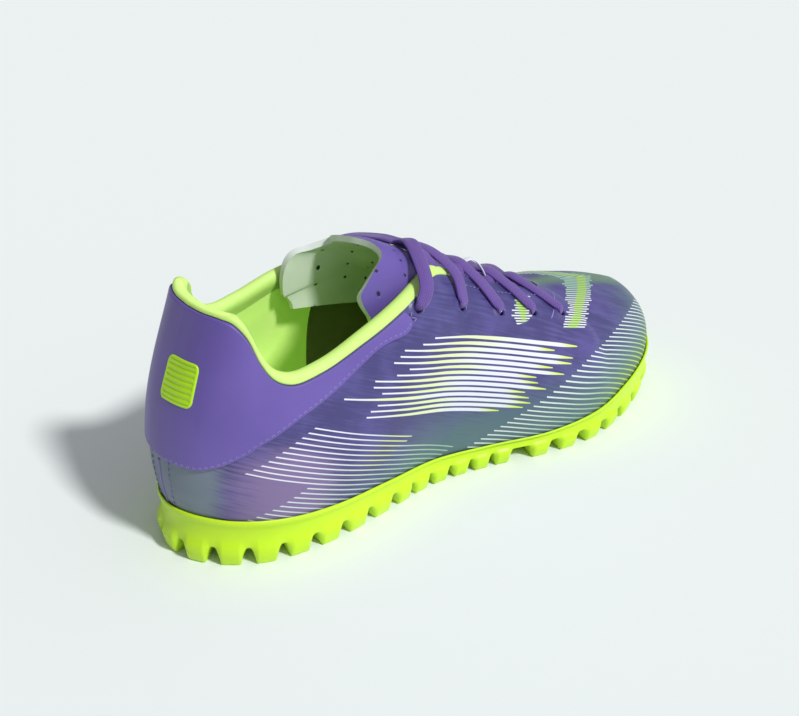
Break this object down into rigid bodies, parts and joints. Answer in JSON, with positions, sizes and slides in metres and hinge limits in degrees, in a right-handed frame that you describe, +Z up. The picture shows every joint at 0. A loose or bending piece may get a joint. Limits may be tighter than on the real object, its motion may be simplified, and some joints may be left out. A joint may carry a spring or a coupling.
{
  "type": "turf shoe",
  "caption": "Low laced turf shoe for the right foot: hollow upper with padded collar and arched tongue on a cupped rubber outsole with moulded lugs.",
  "frame": {"origin": "on the floor, under the middle of the shoe's box", "axes": "+X towards the toe, +Z up, -Y towards the outer side of the foot"},
  "size_m": [0.2924, 0.0982, 0.1153],
  "materials": {
    "outsole_rubber": "satin moulded",
    "upper_synthetic": "smooth coated synthetic, printed",
    "panel_synthetic": "smooth coated synthetic",
    "tongue_cloth": "brushed backing, coated outside",
    "insole_cloth": "cloth over foam",
    "lace_cloth": "flat woven"
  },
  "bodies": {
    "root": {"outsole": "outsole_rubber", "upper": "upper_synthetic", "heel_panel": "panel_synthetic", "tongue": "tongue_cloth", "insole": "insole_cloth", "lace_cross_1": "lace_cloth", "lace_cross_2": "lace_cloth", "lace_cross_3": "lace_cloth", "lace_cross_4": "lace_cloth", "lace_cross_5": "lace_cloth"}
  },
  "joints": []
}
